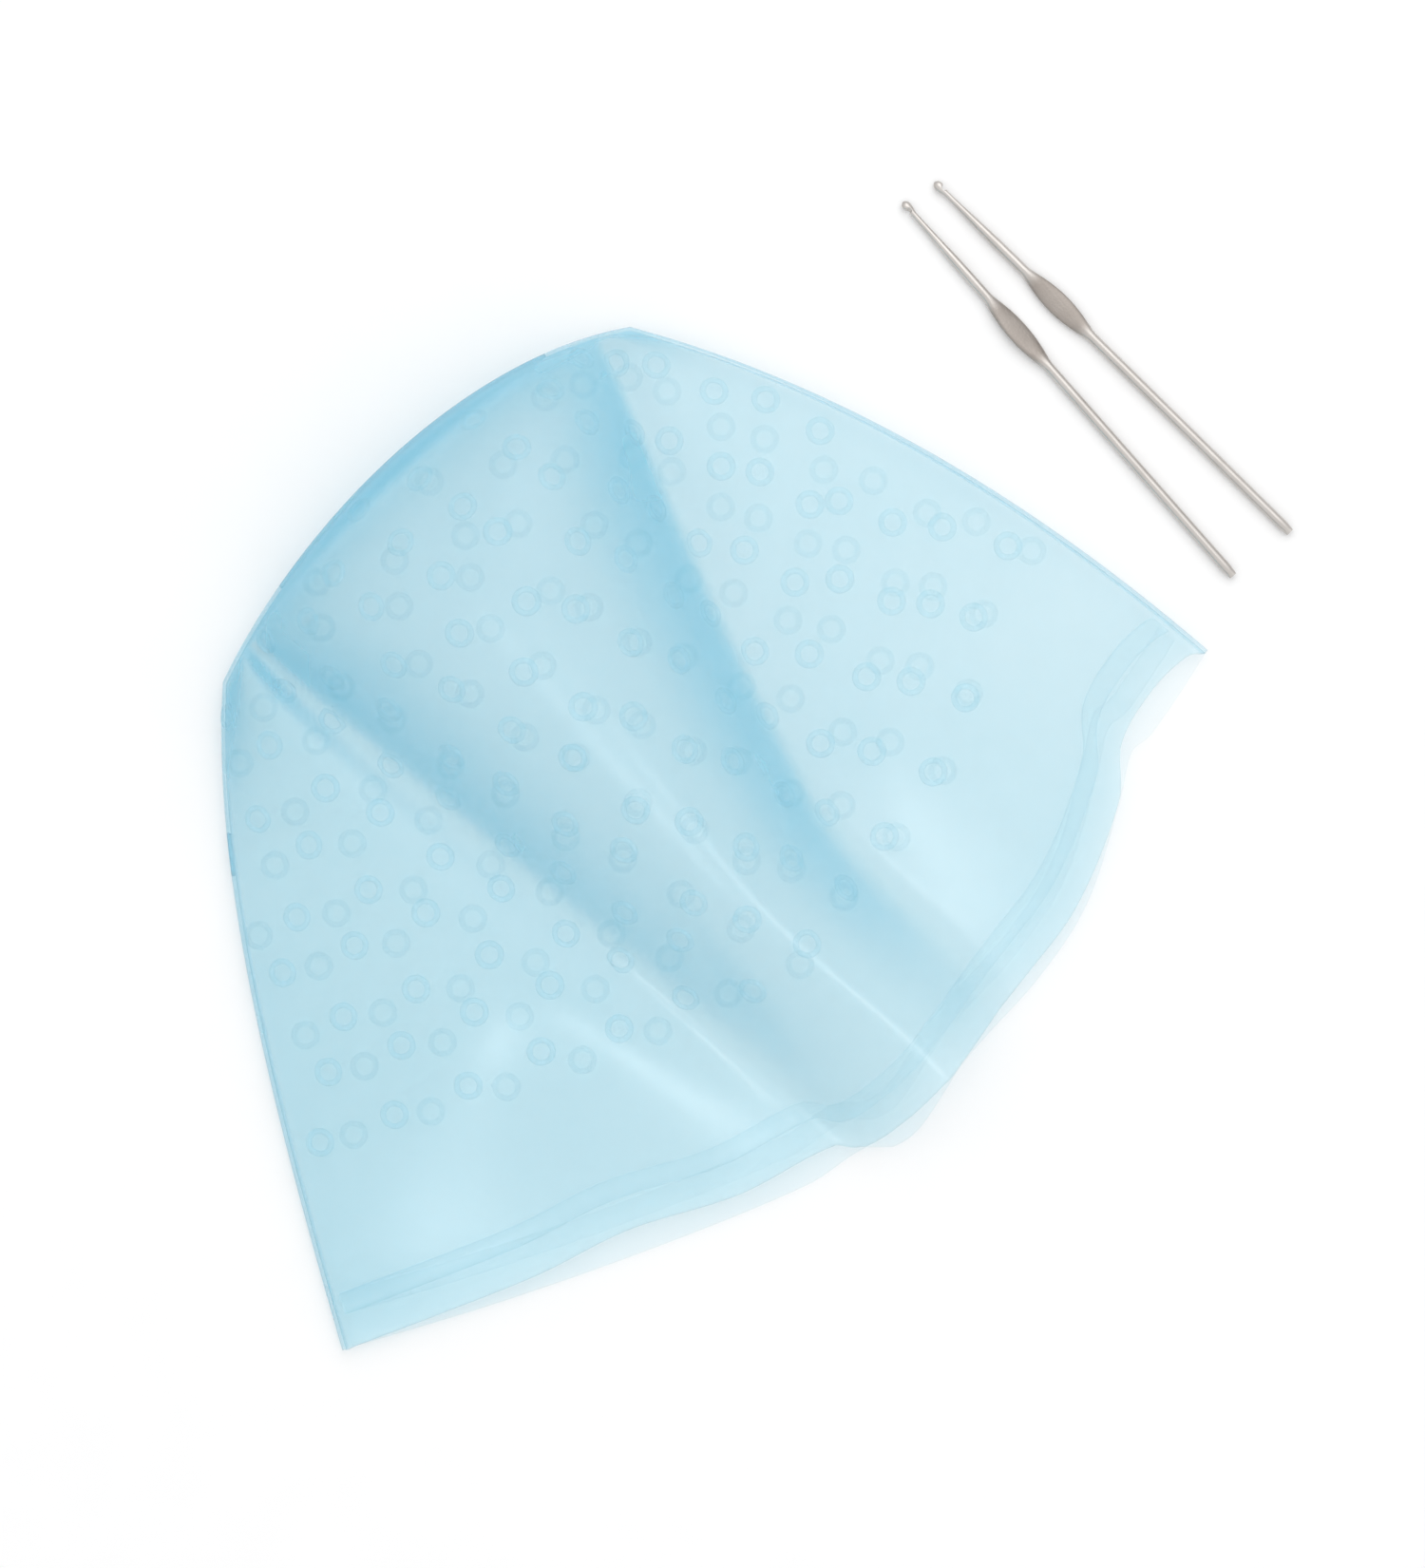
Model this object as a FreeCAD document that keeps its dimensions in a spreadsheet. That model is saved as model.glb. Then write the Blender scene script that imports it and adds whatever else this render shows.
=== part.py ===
"""Highlighting cap with two pulling hooks.

The cap is one soft moulding lying on its side: a flat lower wall, an upper wall with a tall
rounded tongue down its middle and a low facet each side, and a hem bead round the mouth.
It is divided at its side folds into a lower and an upper half, so that the mouth can open.
+X runs across the mouth, +Y from the mouth to the crown, +Z up from the table.
The origin is on the table, midway between the two corners of the mouth.
"""
import FreeCAD, Part
import math
import os

doc = FreeCAD.newDocument("highlighting_cap")
sheet = doc.addObject("Spreadsheet::Sheet", "sizes")
SIZES = [
    ("mouth_half_width", 150.5, "mouth corner to the middle of the mouth"),
    ("crown_reach", 178.5, "line of the mouth corners to the crown"),
    ("crown_left", 62.0, "left corner of the crown, from the middle"),
    ("crown_right", 84.0, "right corner of the crown, from the middle"),
    ("crown_drop", 15.0, "how far the crown corners lie behind the crown"),
    ("lower_rim_bow", 50.0, "how far the lower rim bows out of the mouth line"),
    ("upper_rim_bow", 46.5, "the same for the upper rim"),
    ("wall", 1.0, "silicone wall"),
    ("fold_radius", 2.5, "outer radius of the side folds"),
    ("crown_lift", 9.0, "extra height of the fold line at the middle of the crown"),
    ("crown_round", 56.0, "length over which the tongue rounds down to the crown"),
    ("body_gap", 0.3, "gap between the two halves at the fold line"),
    ("sole_skim", 0.05, "skimmed off under the lower wall, to leave it truly flat"),
    ("tongue_height_rim", 22.0, "height of the tongue at the rim"),
    ("tongue_height_crown", 49.0, "height of the tongue near the crown"),
    ("valley_height", 9.0, "height of the creases at the feet of the tongue"),
    ("left_facet_rise", 16.0, "swell of the left facet"),
    ("right_facet_rise", 7.0, "swell of the right facet"),
    ("hem_inset", 8.5, "plain band between the rim and the hem bead"),
    ("hem_width", 6.0, "width of the hem bead"),
    ("hem_height", 0.7, "height of the hem bead above the wall"),
    ("hook_length", 135.0, "pulling hook, end to end"),
    ("rod_diameter", 2.8, "hook rod"),
    ("tail_diameter", 2.1, "swaged end of the rod"),
    ("tail_length", 2.5, "length of the swage"),
    ("tail_bore", 0.9, "blind hole in the tail"),
    ("tail_bore_depth", 1.5, "depth of the blind hole"),
    ("grip_centre", 88.0, "tail to the middle of the thumb grip"),
    ("grip_length", 25.0, "length of the flattened grip"),
    ("grip_width", 6.1, "width of the grip"),
    ("grip_thickness", 1.6, "thickness of the grip"),
    ("neck_diameter", 1.6, "neck behind the head"),
    ("head_width", 2.6, "hook head, across the barb"),
    ("head_thickness", 2.0, "hook head, the other way"),
    ("head_length", 4.6, "head and throat together"),
    ("throat_radius", 0.85, "throat behind the barb"),
    ("hook_1_aside", 18.1, "mouth corner to the tail of hook 1, across"),
    ("hook_1_back", 11.3, "mouth line to the tail of hook 1"),
    ("hook_1_turn", 92.5, "heading of hook 1, in degrees from +X"),
    ("hook_1_roll", 20.0, "how far hook 1 is rolled on its own length"),
    ("hook_2_aside", 37.5, "mouth corner to the tail of hook 2, across"),
    ("hook_2_back", 10.8, "mouth line to the tail of hook 2"),
    ("hook_2_turn", 96.5, "heading of hook 2, in degrees from +X"),
    ("hook_2_roll", 180.0, "how far hook 2 is rolled on its own length"),
]
for row, (alias, value, note) in enumerate(SIZES, start=1):
    sheet.set(f"A{row}", alias)
    sheet.set(f"B{row}", str(value))
    sheet.set(f"C{row}", note)
    sheet.setAlias(f"B{row}", alias)
doc.recompute()


def size(alias):
    """A driving size, in millimetres."""
    return float(sheet.get(alias))


# ---- Plan of the cap --------------------------------------------------------------------
# The sides and the crown are cubic curves. Their inner control points are shares of the
# cap's own half width and reach, so that the outline keeps its character at another size.
HALF = size("mouth_half_width")
REACH = size("crown_reach")
CROWN_Y = REACH - size("crown_drop")
LEFT_CORNER = (-size("crown_left"), CROWN_Y - 0.015 * REACH)
RIGHT_CORNER = (size("crown_right"), CROWN_Y + 0.015 * REACH)


def cubic(points, share):
    """Point of a cubic curve with four control points at a share of its length."""
    rest = 1.0 - share
    weights = (rest**3, 3 * rest**2 * share, 3 * rest * share**2, share**3)
    return tuple(sum(k * point[axis] for k, point in zip(weights, points)) for axis in (0, 1))


LEFT_SIDE = [(-HALF, 0.0), (-0.837 * HALF, 0.325 * REACH),
             (-0.651 * HALF, 0.683 * REACH), LEFT_CORNER]
RIGHT_SIDE = [(HALF, 0.0), (0.927 * HALF, 0.336 * REACH),
              (0.791 * HALF, 0.661 * REACH), RIGHT_CORNER]
CROWN = [LEFT_CORNER, (-0.17 * HALF, REACH), (0.3 * HALF, 1.055 * REACH), RIGHT_CORNER]


def rim_points(bow):
    """Points of a rim, as shares of the half width and of its bow; the right end is hollow."""
    shares = [(-1.0, 0.0), (-0.78, 0.26), (-0.5, 0.60), (-0.25, 0.86), (0.04, 1.0),
              (0.32, 0.90), (0.55, 0.68), (0.73, 0.31), (0.84, 0.09), (1.0, 0.0)]
    return [FreeCAD.Vector(x * HALF, -y * bow, 0) for x, y in shares]


def rim_curve(bow):
    curve = Part.BSplineCurve()
    curve.interpolate(rim_points(bow))
    return curve


def plan(across, along, rim):
    """Plan position: across runs from the left fold to the right, along from rim to crown."""
    first, last = rim.FirstParameter, rim.LastParameter
    mouth = rim.value(first + across * (last - first))
    left, right = cubic(LEFT_SIDE, along), cubic(RIGHT_SIDE, along)
    crown = cubic(CROWN, across)
    corners = (LEFT_SIDE[0], RIGHT_SIDE[0], LEFT_CORNER, RIGHT_CORNER)
    place = []
    for axis, mouth_value in ((0, mouth.x), (1, mouth.y)):
        sides = (1 - across) * left[axis] + across * right[axis]
        ends = (1 - along) * mouth_value + along * crown[axis]
        near = (1 - across) * corners[0][axis] + across * corners[1][axis]
        far = (1 - across) * corners[2][axis] + across * corners[3][axis]
        place.append(sides + ends - (1 - along) * near - along * far)
    return place


# ---- Heights of the two walls ------------------------------------------------------------
WALL = size("wall")
LENGTH = REACH + size("upper_rim_bow")


def quarter_round(distance, radius):
    """0 at the fold line, 1 from one radius inward, upright at the fold line."""
    left = max(0.0, 1.0 - distance / radius)
    return math.sqrt(1.0 - left * left)


def smooth(share):
    share = min(1.0, max(0.0, share))
    return share * share * (3 - 2 * share)


def side_distance(across):
    return min(across, 1 - across) * 2 * HALF * 0.85


def fold_line(across, along):
    """Height of the fold line, which rises at the middle of the crown."""
    return size("fold_radius") + size("crown_lift") * math.sin(math.pi * across)**2 * along**6


def lower_height(across, along):
    """Underside of the lower wall before it is skimmed, curling up to the fold line."""
    line = fold_line(across, along)
    edge = min(side_distance(across), (1 - along) * LENGTH)
    lift = line - size("body_gap") / 2 + size("sole_skim")
    return lift * (1 - quarter_round(edge, line)) - size("sole_skim")


def skimmed(solid):
    """The solid with everything below the table cut away, which leaves a flat face."""
    depth = 10 * size("sole_skim")
    corner = FreeCAD.Vector(-2 * HALF, -2 * REACH, -depth)
    return solid.cut(Part.makeBox(4 * HALF, 4 * REACH, depth, corner))


def upper_height(across, along):
    """Outer side of the upper wall: tongue, creases and the two facets."""
    left_foot = 0.475 - 0.16 * along - 0.24 * along**2
    right_foot = 0.59 + 0.10 * along + 0.27 * along**4
    flat = 2 * size("fold_radius")
    valley = flat + (size("valley_height") - flat) * smooth(along * 3)
    swell = 0.15 + 0.85 * smooth(along * 3)
    if across < left_foot:
        share = across / left_foot
        height = flat + (valley - flat) * share
        height += size("left_facet_rise") * swell * share * (1 - share**5)
    elif across > right_foot:
        share = (1 - across) / (1 - right_foot)
        height = flat + (valley - flat) * share
        height += size("right_facet_rise") * swell * share * (1 - share**4)
    else:
        crest = left_foot + (right_foot - left_foot) * (0.60 - 0.10 * along)
        foot = left_foot if across < crest else right_foot
        share = abs((across - crest) / (foot - crest))
        low, high = size("tongue_height_rim"), size("tongue_height_crown")
        top = low + (high - low) * (1.55 * along - 0.55 * along**2)
        height = valley + (top - valley) * (1 - share**(1.35 + 1.2 * along))
    line = fold_line(across, along)
    crown_round = size("crown_round") * (0.3 + 0.7 * math.sin(math.pi * across))
    rise = quarter_round(side_distance(across), size("fold_radius"))
    rise *= quarter_round((1 - along) * LENGTH, crown_round)
    return line + size("body_gap") / 2 + (height - line) * rise


# ---- Skins and solids ----------------------------------------------------------------------
COLUMNS = 28
ROWS = 22


def grid(height, rim):
    """Rows of points of an outer skin, close together at the fold line."""
    points = []
    for i in range(COLUMNS + 1):
        across = (1 - math.cos(math.pi * i / COLUMNS)) / 2
        column = []
        for j in range(ROWS + 1):
            along = math.sin(math.pi / 2 * j / ROWS)
            x, y = plan(across, along, rim)
            column.append(FreeCAD.Vector(x, y, height(across, along)))
        points.append(column)
    return points


def offset(points, distance):
    """The same grid moved along its normals, level at the fold line."""
    last_i, last_j = len(points) - 1, len(points[0]) - 1
    moved = []
    for i, column in enumerate(points):
        new_column = []
        for j, point in enumerate(column):
            along_u = points[min(i + 1, last_i)][j] - points[max(i - 1, 0)][j]
            along_v = column[min(j + 1, last_j)] - column[max(j - 1, 0)]
            normal = along_u.cross(along_v)
            if i in (0, last_i) or j == last_j:
                normal.z = 0
            normal.normalize()
            new_column.append(point + normal * distance)
        moved.append(new_column)
    return moved


def knots(count):
    """Knots and multiplicities of a clamped cubic with so many poles."""
    inner = count - 4
    return list(range(inner + 2)), [4] + [1] * inner + [4]


def skin(points):
    """Smooth surface that the grid of points controls."""
    u_knots, u_mults = knots(len(points))
    v_knots, v_mults = knots(len(points[0]))
    surface = Part.BSplineSurface()
    surface.buildFromPolesMultsKnots(points, u_mults, v_mults, u_knots, v_knots,
                                     False, False, 3, 3)
    return surface


def border(surface):
    """The four border edges of a skin, in the same order for every skin."""
    u1, u2, v1, v2 = surface.bounds()
    ends = [surface.vIso(v).toShape(u1, u2) for v in (v1, v2)]
    sides = [surface.uIso(u).toShape(v1, v2) for u in (u1, u2)]
    return ends + sides


def closed_solid(first, second):
    """Solid between two skins whose four sides are joined by ruled faces."""
    faces = [first.toShape(), second.toShape()]
    pairs = zip(border(first), border(second))
    faces += [Part.makeRuledSurface(one, other) for one, other in pairs]
    shell = Part.makeShell(faces)
    shell.sewShape()
    solid = Part.Solid(Part.Shell(shell.Faces))
    if solid.Volume < 0:
        solid.reverse()
    return solid


def add_feature(label, shape):
    feature = doc.addObject("Part::Feature", label)
    feature.Label = label
    feature.Shape = shape
    feature.Placement = FreeCAD.Placement()
    return feature


def share_at(surface, y):
    """Parameter along the middle of a skin where it reaches y."""
    u1, u2, low, high = surface.bounds()
    for _ in range(40):
        middle = (low + high) / 2
        if surface.value((u1 + u2) / 2, middle).y < y:
            low = middle
        else:
            high = middle
    return low


def hem_bead(surface, rise):
    """Bead of even height on a skin, a set distance in from the rim."""
    u1, u2, v1, v2 = surface.bounds()
    rim_y = surface.value((u1 + u2) / 2, v1).y
    low = share_at(surface, rim_y + size("hem_inset"))
    high = share_at(surface, rim_y + size("hem_inset") + size("hem_width"))
    raised = []
    for i in range(2 * COLUMNS + 1):
        u = u1 + (u2 - u1) * i / (2 * COLUMNS)
        column = []
        for j in range(4):
            v = low + (high - low) * j / 3
            normal = surface.normal(u, v)
            if i in (0, 2 * COLUMNS):
                normal = FreeCAD.Vector(normal.x, normal.y, 0).normalize()
            column.append(surface.value(u, v) + normal * rise)
        raised.append(column)
    top = skin(raised)
    foot = surface.copy()
    foot.segment(u1, u2, low, high)
    return closed_solid(foot, top)


upper_rim = rim_curve(size("upper_rim_bow"))
lower_rim = rim_curve(size("lower_rim_bow"))
upper_points = grid(upper_height, upper_rim)
lower_points = grid(lower_height, lower_rim)
upper_outer = skin(upper_points)
upper_inner = skin(offset(upper_points, -WALL))
lower_outer = skin(lower_points)
lower_inner = skin(offset(lower_points, WALL + size("sole_skim")))

nodes = [
    add_feature("cap_upper_wall", closed_solid(upper_outer, upper_inner)),
    add_feature("cap_lower_wall", skimmed(closed_solid(lower_outer, lower_inner))),
    add_feature("hem_bead_upper", hem_bead(upper_outer, size("hem_height"))),
    add_feature("hem_bead_lower", hem_bead(lower_inner, size("hem_height"))),
]


# ---- Pulling hooks ---------------------------------------------------------------------------
# One piece of plated wire: swaged tail with a blind hole, rod, thumb grip pressed flat,
# neck, and a head with a throat cut in one side. Each is built along +X from its tail.
GRIP_STATIONS = 10


def station(name, place, width, thickness):
    """Oval section across the hook; width lies along Y and thickness along Z."""
    oval = doc.addObject("Part::Ellipse", name)
    wide = FreeCAD.Rotation(FreeCAD.Vector(0, 1, 0), FreeCAD.Vector(0, 0, 1),
                            FreeCAD.Vector(1, 0, 0), "ZXY")
    oval.Placement = FreeCAD.Placement(FreeCAD.Vector(0, 0, 0), wide)
    oval.setExpression("MajorRadius", f"({width}) / 2")
    oval.setExpression("MinorRadius", f"({thickness}) / 2")
    oval.setExpression("Placement.Base.x", place)
    return oval


def loft(name, stations):
    part = doc.addObject("Part::Loft", name)
    part.Sections = [station(f"{name}_{n}", *row) for n, row in enumerate(stations)]
    part.Solid = True
    part.Ruled = True
    return part


def hook(number):
    """A hook lying beside the cap, turned about Z and rolled about its own length."""
    label = f"pulling_hook_{number}"
    grip_from = "sizes.grip_centre - sizes.grip_length / 2"
    grip_to = "sizes.grip_centre + sizes.grip_length / 2"
    head_from = "sizes.hook_length - sizes.head_length"
    rod = "sizes.rod_diameter"
    tail = doc.addObject("Part::Cone", f"{label}_tail")
    tail.setExpression("Radius1", "sizes.tail_diameter / 2")
    tail.setExpression("Radius2", "sizes.rod_diameter / 2")
    tail.setExpression("Height", "sizes.tail_length")
    shaft = doc.addObject("Part::Cylinder", f"{label}_shaft")
    shaft.setExpression("Radius", "sizes.rod_diameter / 2")
    shaft.setExpression("Height", f"{grip_from} - sizes.tail_length")
    for piece in (tail, shaft):
        piece.Placement.Rotation = FreeCAD.Rotation(FreeCAD.Vector(0, 1, 0), 90)
    shaft.setExpression("Placement.Base.x", "sizes.tail_length")
    grip_stations = []
    for n in range(GRIP_STATIONS + 1):
        pressed = round(math.sin(math.pi * n / GRIP_STATIONS)**2, 4)
        grip_stations.append((
            f"{grip_from} + sizes.grip_length * {n} / {GRIP_STATIONS}",
            f"{rod} + (sizes.grip_width - {rod}) * {pressed}",
            f"{rod} + (sizes.grip_thickness - {rod}) * {pressed}",
        ))
    grip = loft(f"{label}_grip", grip_stations)
    neck = loft(f"{label}_neck", [
        (grip_to, rod, rod),
        (f"({grip_to} + {head_from}) / 2", "sizes.neck_diameter * 1.35",
         "sizes.neck_diameter * 1.35"),
        (head_from, "sizes.neck_diameter * 1.1", "sizes.neck_diameter"),
        ("sizes.hook_length - sizes.head_length * 0.5", "sizes.head_width * 0.9",
         "sizes.head_thickness * 0.9"),
        ("sizes.hook_length - sizes.head_length * 0.22", "sizes.head_width",
         "sizes.head_thickness"),
        ("sizes.hook_length", "sizes.head_width * 0.45", "sizes.head_thickness * 0.5"),
    ])
    blank = doc.addObject("Part::MultiFuse", f"{label}_blank")
    blank.Shapes = [tail, shaft, grip, neck]
    throat = doc.addObject("Part::Cylinder", f"{label}_throat")
    throat.setExpression("Radius", "sizes.throat_radius")
    throat.setExpression("Height", "sizes.head_width * 2")
    throat.setExpression("Placement.Base.x", "sizes.hook_length - sizes.head_length * 0.62")
    throat.setExpression("Placement.Base.y", "sizes.head_width / 2")
    throat.setExpression("Placement.Base.z", "-sizes.head_width")
    bore = doc.addObject("Part::Cylinder", f"{label}_bore")
    bore.Placement.Rotation = FreeCAD.Rotation(FreeCAD.Vector(0, 1, 0), 90)
    bore.setExpression("Radius", "sizes.tail_bore / 2")
    bore.setExpression("Height", "sizes.tail_bore_depth")
    cuts = doc.addObject("Part::MultiFuse", f"{label}_cuts")
    cuts.Shapes = [throat, bore]
    finished = doc.addObject("Part::Cut", label)
    finished.Label = label
    finished.Base = blank
    finished.Tool = cuts
    turned = FreeCAD.Rotation(FreeCAD.Vector(0, 0, 1), size(f"hook_{number}_turn"))
    rolled = FreeCAD.Rotation(FreeCAD.Vector(1, 0, 0), size(f"hook_{number}_roll"))
    finished.Placement.Rotation = turned * rolled
    aside = f"sizes.mouth_half_width + sizes.hook_{number}_aside"
    finished.setExpression("Placement.Base.x", aside)
    finished.setExpression("Placement.Base.y", f"sizes.hook_{number}_back")
    finished.setExpression("Placement.Base.z", "sizes.rod_diameter / 2")
    return finished


nodes += [hook(1), hook(2)]

# ---- Checks and export -------------------------------------------------------------------------
doc.recompute()
for item in doc.Objects:
    if "Invalid" in item.State or "Error" in item.State:
        raise RuntimeError(f"{item.Label} did not build: {item.State}")
os.makedirs("parts", exist_ok=True)
for node in nodes:
    if node.Shape.isNull() or not node.Shape.isValid():
        raise RuntimeError(f"{node.Label} has no valid shape")
    node.Shape.exportStep(os.path.join("parts", f"{node.Label}.step"))
    box = node.Shape.BoundBox
    print(f"{node.Label}: {node.Shape.Volume:.0f} mm3, {len(node.Shape.Solids)} solid(s), "
          f"X {box.XMin:.1f} {box.XMax:.1f}  Y {box.YMin:.1f} {box.YMax:.1f}  "
          f"Z {box.ZMin:.2f} {box.ZMax:.2f}")
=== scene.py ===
"""Highlighting cap and its two pulling hooks: the looks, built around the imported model."""

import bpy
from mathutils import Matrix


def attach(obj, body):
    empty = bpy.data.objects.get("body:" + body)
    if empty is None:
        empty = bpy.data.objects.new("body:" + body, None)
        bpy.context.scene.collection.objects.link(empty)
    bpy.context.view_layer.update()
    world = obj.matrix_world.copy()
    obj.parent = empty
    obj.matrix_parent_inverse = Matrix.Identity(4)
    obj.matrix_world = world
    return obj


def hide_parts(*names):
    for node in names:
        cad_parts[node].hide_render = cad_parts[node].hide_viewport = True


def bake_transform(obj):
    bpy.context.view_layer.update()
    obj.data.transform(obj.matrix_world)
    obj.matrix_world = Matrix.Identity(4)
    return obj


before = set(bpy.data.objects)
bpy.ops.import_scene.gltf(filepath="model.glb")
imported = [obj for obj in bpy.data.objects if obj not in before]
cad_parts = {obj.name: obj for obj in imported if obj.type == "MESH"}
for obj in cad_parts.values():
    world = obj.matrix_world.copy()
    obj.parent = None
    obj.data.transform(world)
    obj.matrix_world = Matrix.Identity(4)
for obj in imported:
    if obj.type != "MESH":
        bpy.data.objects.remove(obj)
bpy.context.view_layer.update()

import math

import bmesh
import bpy
from mathutils import Matrix, Vector
from mathutils.bvhtree import BVHTree

MM = 0.001

# ---- Table, light and camera ---------------------------------------------------------------
# The cap lies on a plain white table under wide soft lights, and is seen from straight above.
# The camera stands over the middle of the cap and hooks, turned so that the mouth faces
# down to the right.
TABLE_HALF = 3.0
CAMERA_HEIGHT = 1.18
LOOK_AT = Vector((0.0236, 0.0561, 0.0))
VIEW_UP = Vector((0.629, 0.778, 0.0))
LENS, SENSOR = 100, 36
TABLE_DARK, TABLE_LIGHT = (0.95, 0.95, 0.95, 1), (0.97, 0.97, 0.97, 1)
HORIZON, OVERHEAD = (0.45, 0.45, 0.46, 1), (1, 1, 1, 1)
OVERHEAD_FROM = 0.55             # share of the way up at which the sky is fully white
# Each light: place, width, height and power.
KEY_SOFTBOX = (0.9, 0.55, 1.3), 1.1, 1.5, 5
RIDGE_STRIP = (0.03, -0.60, 1.3), 0.05, 0.8, 5
SIDE_STRIP = (-0.45, -0.25, 1.3), 0.05, 0.3, 2
LAYERS_LOOKED_THROUGH = 48


class Socket:
    """A shader socket on which sums are written as Python expressions."""

    def __init__(self, tree, socket):
        self.tree, self.socket = tree, socket

    def maths(self, operation, *values):
        return node(self.tree, "ShaderNodeMath", {"operation": operation}, *values)

    def __add__(self, other):
        return self.maths("ADD", self, other)

    def __sub__(self, other):
        return self.maths("SUBTRACT", self, other)

    def __mul__(self, other):
        return self.maths("MULTIPLY", self, other)

    __radd__, __rmul__ = __add__, __mul__


def node(tree, kind, settings, *values, out=0):
    """Adds a node, sets it up, fills its sockets in order, and gives one output back."""
    made = tree.nodes.new(kind)
    for name, value in settings.items():
        if name == "stops":
            for element, (place, colour) in zip(made.color_ramp.elements, value):
                element.position, element.color = place, colour
        elif name in made.inputs:
            fill(tree, made.inputs[name], value)
        else:
            setattr(made, name, value)
    for socket, value in zip(made.inputs, values):
        fill(tree, socket, value)
    return Socket(tree, made.outputs[out])


def fill(tree, socket, value):
    """Links a socket to an input, or sets the input to a plain value."""
    if isinstance(value, Socket):
        tree.links.new(value.socket, socket)
    elif value is not None:
        socket.default_value = value


def mix_colour(tree, share, first, second):
    """A colour that goes from the first to the second with the share."""
    made = tree.nodes.new("ShaderNodeMix")
    made.data_type = "RGBA"
    for index, value in ((0, share), (6, first), (7, second)):
        fill(tree, made.inputs[index], value)
    return Socket(tree, made.outputs[2])


def material(name):
    """An empty material, with its tree and its Principled shader."""
    made = bpy.data.materials.new(name)
    made.use_nodes = True
    return made, made.node_tree, made.node_tree.nodes["Principled BSDF"]


def table():
    """A flat white top, far wider than what lies on it."""
    work = bmesh.new()
    bmesh.ops.create_grid(work, x_segments=1, y_segments=1, size=TABLE_HALF)
    mesh = bpy.data.meshes.new("table")
    work.to_mesh(mesh)
    work.free()
    top = bpy.data.objects.new("table", mesh)
    bpy.context.scene.collection.objects.link(top)
    paint, tree, shader = material("white_table")
    grain = node(tree, "ShaderNodeTexNoise", {"Scale": 60.0, "Detail": 2.0},
                 node(tree, "ShaderNodeTexCoord", {}, out=3))
    fill(tree, shader.inputs["Base Color"], mix_colour(tree, grain, TABLE_DARK, TABLE_LIGHT))
    shader.inputs["Roughness"].default_value = 0.9
    shader.inputs["Specular IOR Level"].default_value = 0.1
    mesh.materials.append(paint)


def soft_light(name, place, width, height, power, gloss_on=None):
    """A rectangular light aimed at the cap; with gloss_on it only shines in those pieces."""
    lamp = bpy.data.lights.new(name, "AREA")
    lamp.shape, lamp.size, lamp.size_y, lamp.energy = "RECTANGLE", width, height, power
    holder = bpy.data.objects.new(name, lamp)
    bpy.context.scene.collection.objects.link(holder)
    holder.location = place
    holder.rotation_mode = "QUATERNION"
    holder.rotation_quaternion = (LOOK_AT - Vector(place)).to_track_quat("-Z", "Y")
    if gloss_on:
        holder.visible_diffuse = False
        holder.light_linking.receiver_collection = gloss_on


def studio():
    """White all round, and a little darker towards the horizon."""
    world = bpy.data.worlds.new("studio")
    world.use_nodes = True
    tree = world.node_tree
    around = node(tree, "ShaderNodeTexCoord", {}, out=0)
    height = node(tree, "ShaderNodeSeparateXYZ", {}, around, out=2)
    white = node(tree, "ShaderNodeValToRGB",
                 {"stops": [(0.0, HORIZON), (OVERHEAD_FROM, OVERHEAD)]}, height)
    fill(tree, tree.nodes["Background"].inputs["Color"], white)
    tree.nodes["Background"].inputs["Strength"].default_value = 1.0
    bpy.context.scene.world = world


soft_light("key_softbox", *KEY_SOFTBOX)
cap_pieces = bpy.data.collections.new("cap_pieces")
bpy.context.scene.collection.children.link(cap_pieces)
soft_light("ridge_strip", *RIDGE_STRIP, gloss_on=cap_pieces)
soft_light("side_strip", *SIDE_STRIP, gloss_on=cap_pieces)
table()
studio()
bpy.context.scene.view_settings.view_transform = "Standard"
# Light has to get down through every layer of the cap and up again.
bpy.context.scene.cycles.transparent_max_bounces = LAYERS_LOOKED_THROUGH

camera_data = bpy.data.cameras.new("camera")
camera_data.lens, camera_data.sensor_width = LENS, SENSOR
camera = bpy.data.objects.new("camera", camera_data)
bpy.context.scene.collection.objects.link(camera)
back = Vector((0, 0, 1))
side = VIEW_UP.cross(back).normalized()
camera.matrix_world = Matrix((side, VIEW_UP.normalized(), back)).transposed().to_4x4()
camera.location = LOOK_AT + back * CAMERA_HEIGHT
bpy.context.scene.camera = camera


# ---- The cap -------------------------------------------------------------------------------
# One moulding of soft translucent silicone, about a millimetre thick, lying on its side.
# The lower wall is flat on the table; the upper wall stands up in a rounded tongue between
# two creases. Upper and lower wall are one skin, folded at the sides and at the crown.
WALL = 1.0
HALF, REACH = 150.5, 178.5
LEFT_CORNER, RIGHT_CORNER = (-62.0, 160.8), (84.0, 166.2)
LEFT_SIDE = [(-HALF, 0.0), (-0.837 * HALF, 0.325 * REACH),
             (-0.651 * HALF, 0.683 * REACH), LEFT_CORNER]
RIGHT_SIDE = [(HALF, 0.0), (0.927 * HALF, 0.336 * REACH),
              (0.791 * HALF, 0.661 * REACH), RIGHT_CORNER]
CROWN = [LEFT_CORNER, (-0.17 * HALF, REACH), (0.3 * HALF, 1.055 * REACH), RIGHT_CORNER]
UPPER_BOW, LOWER_BOW = 46.5, 50.0
UPPER_RIM = [(-1, 0), (-0.83, 0.18), (-0.64, 0.37), (-0.46, 0.50), (-0.27, 0.74),
             (-0.08, 0.87), (-0.045, 0.98), (0.05, 1.0), (0.15, 0.96), (0.38, 0.80),
             (0.53, 0.67), (0.71, 0.34), (0.77, 0.11), (0.87, -0.02), (0.96, -0.05), (1, 0)]
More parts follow.
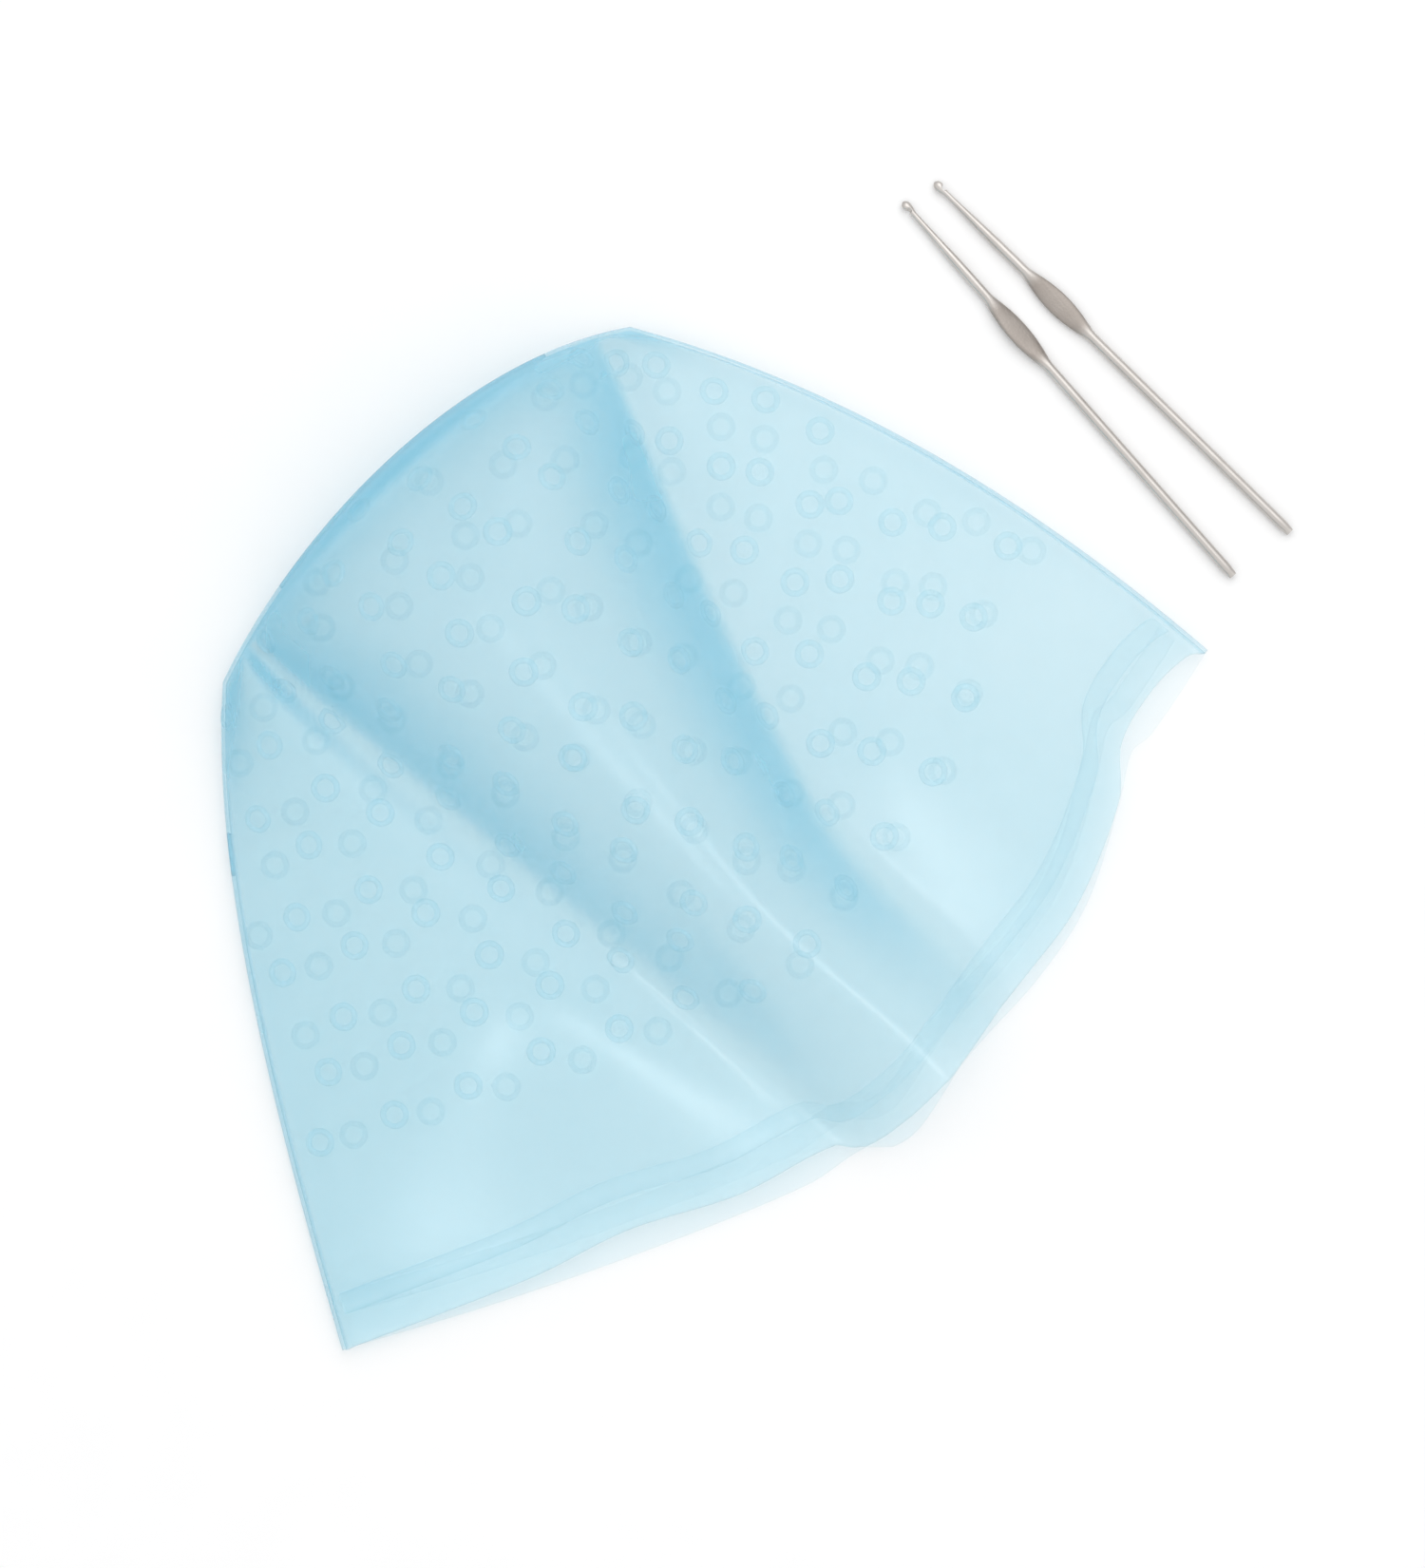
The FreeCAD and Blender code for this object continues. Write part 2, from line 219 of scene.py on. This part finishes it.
LOWER_RIM = [(-1, 0), (-0.73, 0.33), (-0.44, 0.64), (-0.16, 0.89), (-0.04, 0.93),
             (0.0, 1.02), (0.06, 1.03), (0.2, 0.90), (0.4, 0.80), (0.55, 0.65),
             (0.71, 0.33), (0.78, 0.17), (0.82, 0.165), (0.9, 0.10), (1, 0)]
LENGTH = REACH + UPPER_BOW
FOLD_RADIUS, CROWN_LIFT, CROWN_ROUND = 2.5, 9.0, 56.0
RIM_TONGUE, CROWN_TONGUE, VALLEY = 22.0, 49.0, 9.0
LEFT_RISE, RIGHT_RISE = 16.0, 7.0
SOLE = 0.75                      # the lower wall stands on its ring bosses
SIDE_NARROWING = 0.85            # mean width of the cap as a share of its mouth
MOUTH_OVER = 3                   # the mouth's shape gives way to the dome's in 1 / 3 of the length
CREST_SHARE, CREST_DRIFT = 0.60, 0.10
TONGUE_SHARP, TONGUE_ROUNDER = 1.35, 1.2
TONGUE_CLIMB, TONGUE_LEVELLING = 1.55, 0.55
SWELL_LEAST = 0.15               # share of a side part's rise that is left at the mouth
ACROSS, ALONG = 140, 110
EVEN_SHARE = 0.4                 # how evenly the grid is spaced; the rest crowds at the folds
SMOOTHING = 5
SMOOTHED_ABOVE = 4.0
WELD = 0.02
DENT_PLACE, DENT_LONG, DENT_WIDE, DENT_DEEP, DENT_SLANT = (-77.0, 119.0), 13.0, 3.0, 2.2, 0.3
PLEAT_X, PLEAT_FROM, PLEAT_TO, PLEAT_HALF, PLEAT_HIGH = 122.5, -9.0, 40.0, 2.2, 1.1
PLEAT_LEAD, PLEAT_ONSET, PLEAT_FADE = 8, 4, 20
# Colour: what lies flat on white is nearly clear; steep walls and raised walls are painted deeper,
# as painted shade on the crease flanks and over the shaded hollow inside the cap.
THIN_BLUE, DEEP_AND_SHADED_BLUE = (0.44, 0.79, 0.90, 1), (0.15, 0.62, 0.82, 1)
COVER, PAINTED_SHADE_COVER_RAISED, PAINTED_SHADE_COVER_STEEP, COVER_CLOUD = 0.065, 0.125, 0.20, 0.03
PAINTED_LIGHT_TO_RIGHT = 0.25            # lost per metre to the right: painted light, paler on the side the light comes from and deeper to the left
GLOSS, GLOSS_CLOUD = 0.20, 0.12
SILICONE_IOR, SILICONE_SHINE = 1.41, 1.0
# Painted shade: how steep a wall must stand to be painted deeper, and how that fades towards the
# mouth.
LEVEL_NORMAL, STEEP_RANGE = 0.93, 0.42
STEEP_AT_MOUTH, MOUTH_FADE_FROM, MOUTH_FADE_OVER = 0.25, 35, 50
MOULDED_STEEP = 0.35             # an even share of the painted shade for what is moulded on the wall
RAISED_FROM, RAISED_OVER = 1.5, 3.5


def cubic(points, share):
    """Point on the curve that four control points give."""
    rest = 1.0 - share
    weights = (rest**3, 3 * rest**2 * share, 3 * rest * share**2, share**3)
    return [sum(k * point[axis] for k, point in zip(weights, points)) for axis in (0, 1)]


def rim_y(x, rim, bow):
    """Smooth curve through the rim's points, as a height over its own half width."""
    share = x / HALF
    i = max(k for k in range(len(rim) - 1) if rim[k][0] <= share or k == 0)
    before, start = rim[max(i - 1, 0)], rim[i]
    end, after = rim[i + 1], rim[min(i + 2, len(rim) - 1)]
    run = end[0] - start[0]
    t = (share - start[0]) / run
    leave = (end[1] - before[1]) / (end[0] - before[0]) * run
    arrive = (after[1] - start[1]) / (after[0] - start[0]) * run
    value = (start[1] * (1 + 2 * t) * (1 - t)**2 + leave * t * (1 - t)**2
             + end[1] * t * t * (3 - 2 * t) + arrive * t * t * (t - 1))
    return -value * bow


def plan(across, along, rim, bow):
    """Place on the table of a point of the wall, blended between the outline's four edges."""
    mouth_x = (2 * across - 1) * HALF
    mouth = (mouth_x, rim_y(mouth_x, rim, bow))
    left, right, crown = cubic(LEFT_SIDE, along), cubic(RIGHT_SIDE, along), cubic(CROWN, across)
    place = []
    for axis in (0, 1):
        sides = (1 - across) * left[axis] + across * right[axis]
        ends = (1 - along) * mouth[axis] + along * crown[axis]
        near = (1 - across) * LEFT_SIDE[0][axis] + across * RIGHT_SIDE[0][axis]
        far = (1 - across) * LEFT_CORNER[axis] + across * RIGHT_CORNER[axis]
        place.append(sides + ends - (1 - along) * near - along * far)
    return place


def quarter_round(distance, radius):
    """Share of the full height reached so far in from a rounded edge."""
    return math.sqrt(1 - max(0.0, 1 - distance / radius)**2)


def smooth(share):
    """A step from 0 to 1 with level ends."""
    share = min(1.0, max(0.0, share))
    return share * share * (3 - 2 * share)


def side_distance(across):
    """About how far a point lies in from the nearer side fold."""
    return min(across, 1 - across) * 2 * HALF * SIDE_NARROWING


def fold_line(across, along):
    """Height at which the two walls meet, low at the sides and raised at the crown."""
    return FOLD_RADIUS + CROWN_LIFT * math.sin(math.pi * across)**2 * along**6


def feet(along):
    """Shares of the width at which the tongue meets the creases."""
    slack = 0.05 * (1 - smooth(along * MOUTH_OVER))
    return (0.475 - 0.28 * along - 0.09 * along**4,
            0.60 + 0.10 * along + 0.235 * along**3 + slack)


def upper_height(across, along, x, y):
    """Upper wall: a low side part each side, and between the creases the rounded tongue."""
    left, right = feet(along)
    flat = 2 * FOLD_RADIUS
    past_mouth = smooth(along * MOUTH_OVER)
    valley = flat + (VALLEY - flat) * past_mouth
    swell = SWELL_LEAST + (1 - SWELL_LEAST) * past_mouth
    if across < left:
        share = across / left
        height = flat + (valley - flat) * share + LEFT_RISE * swell * share * (1 - share**5)
    elif across > right:
        share = (1 - across) / (1 - right)
        height = flat + (valley - flat) * share + RIGHT_RISE * swell * share * (1 - share**4)
    else:
        crest = left + (right - left) * (CREST_SHARE - CREST_DRIFT * along)
        foot = left if across < crest else right
        share = abs((across - crest) / (foot - crest))
        climb = TONGUE_CLIMB * along - TONGUE_LEVELLING * along**2
        top = RIM_TONGUE + (CROWN_TONGUE - RIM_TONGUE) * climb
        height = valley + (top - valley) * (1 - share**(TONGUE_SHARP + TONGUE_ROUNDER * along))
    line = fold_line(across, along)
    rise = quarter_round(side_distance(across), FOLD_RADIUS)
    rise *= quarter_round((1 - along) * LENGTH,
                          CROWN_ROUND * (0.3 + 0.7 * math.sin(math.pi * across)))
    dent_x, dent_y = x - DENT_PLACE[0], y - DENT_PLACE[1]
    dent = math.exp(-(dent_x / DENT_LONG)**2
                    - ((dent_y + DENT_SLANT * dent_x) / DENT_WIDE)**2)
    return line + (height - line) * rise - DENT_DEEP * dent


def lower_height(across, along, x, y):
    """Lower wall: level, curling up to the folds, with one small pleat at the rim."""
    line = fold_line(across, along)
    edge = min(side_distance(across), (1 - along) * LENGTH)
    level = SOLE + (line - SOLE) * (1 - quarter_round(edge, line))
    fade = smooth((PLEAT_TO - y) / PLEAT_FADE)
    fade *= smooth((y - PLEAT_FROM + PLEAT_LEAD) / PLEAT_ONSET)
    return level + PLEAT_HIGH * fade * math.exp(-((x - PLEAT_X) / PLEAT_HALF)**2)


def crowded(share):
    """Moves a grid line towards the edges, where the folds need it."""
    return EVEN_SHARE * share + (1 - EVEN_SHARE) * (1 - math.cos(math.pi * share)) / 2


def wall_grid(work, height, rim, bow):
    """Adds one wall to the mesh: a flat grid, moved on to the wall's surface."""
    made = bmesh.ops.create_grid(work, x_segments=ACROSS, y_segments=ALONG, size=0.5)
    for vert in made["verts"]:
        across = crowded(vert.co.x + 0.5)
        along = crowded(vert.co.y + 0.5)
        x, y = plan(across, along, rim, bow)
        vert.co = Vector((x, y, height(across, along, x, y))) * MM


def cap_skin():
    """Outer skin of the whole cap, open at the mouth, with its creases softened."""
    work = bmesh.new()
    wall_grid(work, upper_height, UPPER_RIM, UPPER_BOW)
    upper_faces = set(work.faces)
    wall_grid(work, lower_height, LOWER_RIM, LOWER_BOW)
    lower_faces = [face for face in work.faces if face not in upper_faces]
    bmesh.ops.reverse_faces(work, faces=lower_faces)
    inner = [vert for vert in work.verts
             if not vert.is_boundary and vert.co.z > SMOOTHED_ABOVE * MM]
    for _ in range(SMOOTHING):
        bmesh.ops.smooth_vert(work, verts=inner, factor=0.5, use_axis_x=False,
                              use_axis_y=False, use_axis_z=True)
    bmesh.ops.remove_doubles(work, verts=list(work.verts), dist=WELD * MM)
    work.normal_update()
    return work


def mark_painted_shade(mesh, moulded_on):
    """Marks where the wall stands steep and where it is clear of the table, for the painted shade
    there.
    """
    steep = mesh.attributes.new("steep", "FLOAT", "POINT")
    raised = mesh.attributes.new("raised", "FLOAT", "POINT")
    for i, vert in enumerate(mesh.vertices):
        # Painted shade on steep walls, weaker near the mouth; moulded pieces get an even share of
        # it.
        slant = smooth((LEVEL_NORMAL - abs(vert.normal.z)) / STEEP_RANGE)
        past_mouth = smooth((vert.co.y / MM + MOUTH_FADE_FROM) / MOUTH_FADE_OVER)
        slant *= STEEP_AT_MOUTH + (1 - STEEP_AT_MOUTH) * past_mouth
        steep.data[i].value = MOULDED_STEEP if moulded_on else slant
        # Painted shade over the hollow, where the wall stands clear of the table.
        raised.data[i].value = smooth((vert.co.z / MM - RAISED_FROM) / RAISED_OVER)


def silicone(name, clear=0.0):
    """Milky blue silicone: half clear, satin, with painted shade deepening its colour where it
    stands steep and painted light clearing it to the right.
    """
    paint, tree, shader = material(name)
    place = node(tree, "ShaderNodeTexCoord", {}, out=3)
    cloud = node(tree, "ShaderNodeTexNoise", {"Scale": 18.0, "Detail": 3.0}, place)
    fine = node(tree, "ShaderNodeTexNoise", {"Scale": 900.0, "Detail": 2.0}, place)
    steep = node(tree, "ShaderNodeAttribute", {"attribute_name": "steep"}, out=2)
    raised = node(tree, "ShaderNodeAttribute", {"attribute_name": "raised"}, out=2)
    # Painted shade: steep walls take the deeper blue and more cover, with a little random cloud in
    # the tone.
    painted_shade_and_tone = steep * 0.9 + cloud * 0.1
    fill(tree, shader.inputs["Base Color"], mix_colour(tree, painted_shade_and_tone, THIN_BLUE, DEEP_AND_SHADED_BLUE))
    # Painted light: the wall is painted clearer to the right and deeper to the left, as the light
    # falls.
    painted_light_x = node(tree, "ShaderNodeSeparateXYZ", {}, place, out=0)
    cover = COVER + raised * PAINTED_SHADE_COVER_RAISED + steep * PAINTED_SHADE_COVER_STEEP + cloud * COVER_CLOUD
    cover = cover - painted_light_x * PAINTED_LIGHT_TO_RIGHT
    fill(tree, shader.inputs["Alpha"], cover * (1.0 - clear))
    fill(tree, shader.inputs["Roughness"], GLOSS + cloud * GLOSS_CLOUD)
    bump = node(tree, "ShaderNodeBump", {"Strength": 0.05, "Distance": 0.0002, "Height": fine})
    fill(tree, shader.inputs["Normal"], bump)
    shader.inputs["IOR"].default_value = SILICONE_IOR
    shader.inputs["Specular IOR Level"].default_value = SILICONE_SHINE
    return paint


def finish_piece(work, name, paint, wall=0.0, moulded_on=False):
    """Turns a mesh being worked on into a piece of the cap."""
    mesh = bpy.data.meshes.new(name)
    work.to_mesh(mesh)
    mark_painted_shade(mesh, moulded_on)
    for face in mesh.polygons:
        face.use_smooth = True
    mesh.materials.append(paint)
    piece = bpy.data.objects.new(name, mesh)
    cap_pieces.objects.link(piece)
    if wall:
        thick = piece.modifiers.new("wall", "SOLIDIFY")
        thick.thickness, thick.offset = wall, -1
    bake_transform(piece)
    return piece


cap_silicone = silicone("blue_silicone")
skin = cap_skin()
cap = finish_piece(skin, "cap_shell", cap_silicone, WALL * MM)
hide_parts("cap_upper_wall", "cap_lower_wall")
skin_tree = BVHTree.FromBMesh(skin)

# ---- Hem bead ------------------------------------------------------------------------------
# A flat raised bead runs round the mouth, a little way in from the rim. It is moulded with the
# wall, outside on the upper wall and inside on the lower one, and keeps the edge from tearing.
HEM_INSET, HEM_WIDTH, HEM_HEIGHT = 9.0, 5.8, 0.65
HEM_STEPS, LINE_STEPS = 220, 120
HEM_MARGIN = 0.012               # share of the width left free at each side fold
HEM_CLEAR = 0.35
HEM_PROFILE = [(0.0, -0.15), (0.06, 0.75), (0.2, 1.0), (0.8, 1.0), (0.94, 0.75), (1.0, -0.15)]
lines_up = {}


def line_up(across, height, rim, bow):
    """Points up the wall from the rim, each with its share of the length and its distance."""
    key = (height.__name__, round(across, 6))
    if key not in lines_up:
        walked, found = 0.0, []
        for i in range(LINE_STEPS + 1):
            along = i / LINE_STEPS
            x, y = plan(across, along, rim, bow)
            point = Vector((x, y, height(across, along, x, y)))
            walked += (point - found[-1][2]).length if found else 0.0
            found.append((walked, along, point))
        lines_up[key] = found
    return lines_up[key]


def along_at(across, distance, height, rim, bow):
    """Share of the length at which a line up the wall is so far from the rim, and its place."""
    line = line_up(across, height, rim, bow)
    for (near, low, start), (far, high, end) in zip(line, line[1:]):
        if far >= distance:
            share = (distance - near) / (far - near)
            return low + (high - low) * share, start.lerp(end, share)
    return None


def hem(work, height, rim, bow, outward):
    """Adds one wall's bead: a grid laid along the rim, lifted to the bead's section."""
    strips = len(HEM_PROFILE) - 1
    made = bmesh.ops.create_grid(work, x_segments=HEM_STEPS, y_segments=strips, size=0.5)
    wall = 0 if outward > 0 else WALL * MM
    for vert in made["verts"]:
        across = HEM_MARGIN + (1 - 2 * HEM_MARGIN) * (vert.co.x + 0.5)
        width, lift = HEM_PROFILE[round((vert.co.y + 0.5) * strips)]
        _, place = along_at(across, HEM_INSET + HEM_WIDTH * width, height, rim, bow)
        found, normal, _, _ = skin_tree.find_nearest(place * MM)
        vert.co = found + normal * (outward * HEM_HEIGHT * lift * MM - wall)


hem_silicone = silicone("hem_silicone", clear=HEM_CLEAR)
hem_work = bmesh.new()
hem(hem_work, upper_height, UPPER_RIM, UPPER_BOW, 1)
hem_upper = finish_piece(hem_work, "hem_bead_outside", hem_silicone)
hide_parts("hem_bead_upper")
hem_work = bmesh.new()
hem(hem_work, lower_height, LOWER_RIM, LOWER_BOW, -1)
hem_lower = finish_piece(hem_work, "hem_bead_inside", hem_silicone)
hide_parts("hem_bead_lower")

# ---- Ring bosses ---------------------------------------------------------------------------
# The hook goes in through thin spots in the wall, each inside a small raised ring. The rings
# are moulded in rows that follow the rim, each row set over from the last.
RING_OUTER, RING_INNER, RING_HEIGHT, RING_SUNK = 4.0, 2.3, 0.6, 0.1
RING_SLOPE = 0.3                 # share of a ring's width that each of its flanks takes
RING_SIDES = 16
ROW_FIRST = 55.0                 # rim to the first row
ROW_STEPS = (17.0, 12.5)         # rows come in pairs
ROW_COUNT = 16
ROW_POINTS, ROW_MARGIN = 400, 0.02
RING_PITCH, ROW_SHIFT = 21.5, 0.36
UPPER_SHIFT, LOWER_SHIFT = 0.2, 0.6
CLEAR_OF_FOLD = 6.0
RING_CLEAR = 0.25


def ring_template():
    """A raised ring: its section, spun once round."""
    work = bmesh.new()
    slope = RING_SLOPE * (RING_OUTER - RING_INNER)
    section = [(RING_OUTER, -RING_SUNK), (RING_OUTER - slope, RING_HEIGHT),
               (RING_INNER + slope, RING_HEIGHT), (RING_INNER, -RING_SUNK)]
    verts = [work.verts.new((x * MM, 0, z * MM)) for x, z in section]
    edges = [work.edges.new(pair) for pair in zip(verts, verts[1:])]
    bmesh.ops.spin(work, geom=verts + edges, cent=(0, 0, 0), axis=(0, 0, 1),
                   angle=2 * math.pi, steps=RING_SIDES, use_merge=True)
    bmesh.ops.recalc_face_normals(work, faces=list(work.faces))
    if max(work.faces, key=lambda face: face.calc_center_median().z).normal.z < 0:
        bmesh.ops.reverse_faces(work, faces=list(work.faces))
    mesh = bpy.data.meshes.new("ring")
    work.to_mesh(mesh)
    work.free()
    return mesh


def rings(name, height, rim, bow, shift):
    """Walks along each row and settles a ring on the wall at every pitch."""
    template = ring_template()
    work = bmesh.new()
    distance = ROW_FIRST
    for row in range(ROW_COUNT):
        offset = ((row * ROW_SHIFT + shift) % 1.0) * RING_PITCH
        walked, last, wanted = 0.0, None, offset
        for i in range(ROW_POINTS + 1):
            across = ROW_MARGIN + (1 - 2 * ROW_MARGIN) * i / ROW_POINTS
            found = along_at(across, distance, height, rim, bow)
            if found is None or (1 - found[0]) * LENGTH < CLEAR_OF_FOLD:
                last = None
                continue
            point = found[1]
            if last is not None:
                walked += (point - last).length
            last = point
            if walked < wanted or side_distance(across) < CLEAR_OF_FOLD:
                continue
            wanted = walked + RING_PITCH
            centre, normal, _, _ = skin_tree.find_nearest(point * MM)
            turn = normal.to_track_quat("Z", "Y").to_matrix()
            count = len(work.verts)
            work.from_mesh(template)
            work.verts.ensure_lookup_table()
            for vert in work.verts[count:]:
                lift = vert.co.z
                flat = centre + turn @ Vector((vert.co.x, vert.co.y, 0))
                foot, out, _, _ = skin_tree.find_nearest(flat)
                vert.co = foot + out * lift
        distance += ROW_STEPS[row % 2]
    return finish_piece(work, name, ring_silicone, moulded_on=True)


ring_silicone = silicone("ring_silicone", clear=RING_CLEAR)
rings("ring_bosses_upper", upper_height, UPPER_RIM, UPPER_BOW, UPPER_SHIFT)
rings("ring_bosses_lower", lower_height, LOWER_RIM, LOWER_BOW, LOWER_SHIFT)


# ---- Pulling hooks -------------------------------------------------------------------------
# Two slim loose hooks of nickel-plated steel wire. Each is drawn, pressed flat for the thumb
# grip, drawn down to the neck, and cut with a throat at its head. They lie beside the cap.
HOOK_LENGTH, ROD, TAIL, TAIL_LENGTH = 135.0, 1.4, 1.05, 2.5
BORE, BORE_DEPTH = 0.45, 1.5
GRIP_CENTRE, GRIP_HALF, GRIP_WIDE, GRIP_THIN = 88.0, 12.5, 3.05, 0.8
GRIP_POINTED = 1.3
NECK, HEAD_WIDE, HEAD_THICK, HEAD_LENGTH = 0.8, 1.3, 1.0, 4.6
NECK_LATE = 1.8                  # the wire keeps its thickness, and thins near the head
THROAT_AT, THROAT_HALF, THROAT_DEEP = 132.1, 0.85, 1.15
HOOK_SIDES, HOOK_STATIONS, HEAD_CROWDING = 28, 150, 1.6
PLATE, WORN_PLATE = (0.64, 0.61, 0.58, 1), (0.34, 0.30, 0.27, 1)
# Each hook: its body, how far beside and behind the mouth's right corner its tail lies, and in
# degrees its heading and how it is rolled over.
HOOKS = {"pulling_hook_1": ("hook_1", 18.1, 11.3, 92.5, 20.0),
         "pulling_hook_2": ("hook_2", 37.5, 10.8, 96.5, 180.0)}


def hook_section(place):
    """Half width and half thickness of the wire so far from its tail."""
    if place < TAIL_LENGTH:
        radius = TAIL + (ROD - TAIL) * smooth(place / TAIL_LENGTH)
        return radius, radius
    pressed = max(0.0, 1 - ((place - GRIP_CENTRE) / GRIP_HALF)**2)**GRIP_POINTED
    head_from = HOOK_LENGTH - HEAD_LENGTH
    grip_to = GRIP_CENTRE + GRIP_HALF
    drawn = smooth((place - grip_to) / (head_from - grip_to))**NECK_LATE
    radius = ROD + (NECK - ROD) * drawn
    swell = smooth((place - head_from) / (0.6 * HEAD_LENGTH))
    tip = quarter_round(HOOK_LENGTH - place, 0.35 * HEAD_LENGTH)
    wide = radius + (HEAD_WIDE - radius) * swell
    thick = radius + (HEAD_THICK - radius) * swell
    return ((wide + (GRIP_WIDE - wide) * pressed) * max(tip, 0.3),
            (thick + (GRIP_THIN - thick) * pressed) * max(tip, 0.3))


def hook_place(step):
    """Stations along the wire, crowded at the head, where the throat is cut."""
    share = step / HOOK_STATIONS
    return HOOK_LENGTH * (1 - (1 - share)**HEAD_CROWDING)


def shape_station(verts, place):
    """Sets one ring of the wire to its section: rod, flat grip, neck, or head with its throat."""
    wide, thick = hook_section(place)
    flat = smooth((1 - abs(place - GRIP_CENTRE) / GRIP_HALF) * 1.6)
    cut = max(0.0, 1 - ((place - THROAT_AT) / THROAT_HALF)**2)
    for i, vert in enumerate(verts):
        turn = 2 * math.pi * i / HOOK_SIDES
        across, up = math.cos(turn), math.sin(turn)
        pressed = math.copysign(abs(up)**(1 - 0.3 * flat), up)
        y = min(across * wide, wide - THROAT_DEEP * math.sqrt(cut) if cut else across * wide)
        vert.co = Vector((place, y, pressed * thick)) * MM


def hook_mesh(name, paint):
    """The wire, extruded station by station from its tail, with the blind hole in its tail."""
    work = bmesh.new()
    ring = bmesh.ops.create_circle(work, segments=HOOK_SIDES, radius=ROD * MM)["verts"]
    shape_station(ring, 0.0)
    first = list(ring)
    for step in range(1, HOOK_STATIONS + 1):
        edges = [work.edges.get((ring[i - 1], ring[i])) for i in range(HOOK_SIDES)]
        made = bmesh.ops.extrude_edge_only(work, edges=edges)["geom"]
        fresh = {vert for vert in made if isinstance(vert, bmesh.types.BMVert)}
        ring = [next(edge.other_vert(old) for edge in old.link_edges
                     if edge.other_vert(old) in fresh) for old in ring]
        shape_station(ring, hook_place(step))
    work.faces.new(ring)
    tail = work.faces.new(list(reversed(first)))
    rim_left = (TAIL - BORE) * MM
    bmesh.ops.inset_region(work, faces=[tail], thickness=rim_left, use_even_offset=True)
    bottom = bmesh.ops.extrude_discrete_faces(work, faces=[tail])["faces"]
    bmesh.ops.translate(work, verts=list(bottom[0].verts), vec=(BORE_DEPTH * MM, 0, 0))
    bmesh.ops.recalc_face_normals(work, faces=list(work.faces))
    mesh = bpy.data.meshes.new(name)
    work.to_mesh(mesh)
    work.free()
    pressed = mesh.attributes.new("pressed", "FLOAT", "POINT")
    for vert, value in zip(mesh.vertices, pressed.data):
        value.value = smooth((1 - abs(vert.co.x / MM - GRIP_CENTRE) / GRIP_HALF) * 2.5)
    for face in mesh.polygons:
        face.use_smooth = len(face.vertices) == 4
    mesh.materials.append(paint)
    return mesh


def nickel():
    """Drawn nickel plate, with worn patches and a duller, stamped grip."""
    paint, tree, shader = material("nickel_plate")
    place = node(tree, "ShaderNodeTexCoord", {}, out=3)
    drawn = node(tree, "ShaderNodeMapping", {"Scale": (2500.0, 60.0, 2500.0)}, place)
    lines = node(tree, "ShaderNodeTexNoise", {"Scale": 1.0, "Detail": 3.0}, drawn)
    wear = node(tree, "ShaderNodeTexNoise", {"Scale": 140.0, "Detail": 4.0}, place)
    stamp = node(tree, "ShaderNodeTexVoronoi", {"Scale": 1600.0}, place)
    pressed = node(tree, "ShaderNodeAttribute", {"attribute_name": "pressed"}, out=2)
    fill(tree, shader.inputs["Base Color"],
         mix_colour(tree, wear * 0.35 + pressed * 0.65, PLATE, WORN_PLATE))
    fill(tree, shader.inputs["Roughness"], 0.22 + lines * 0.20 + pressed * 0.18)
    shader.inputs["Metallic"].default_value = 1.0
    relief = lines * 0.4 + pressed * stamp
    bump = node(tree, "ShaderNodeBump", {"Strength": 0.4, "Distance": 0.0001, "Height": relief})
    fill(tree, shader.inputs["Normal"], bump)
    return paint


hook_nickel = nickel()
for node_name, (body, aside, behind, heading, roll) in HOOKS.items():
    mesh = hook_mesh(f"{node_name}_wire", hook_nickel)
    laid = Matrix.Translation(Vector((HALF + aside, behind, ROD)) * MM)
    laid = laid @ Matrix.Rotation(math.radians(heading), 4, "Z")
    mesh.transform(laid @ Matrix.Rotation(math.radians(roll), 4, "X"))
    wire = bpy.data.objects.new(f"{node_name}_wire", mesh)
    bpy.context.scene.collection.objects.link(wire)
    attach(wire, body)
    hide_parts(node_name)
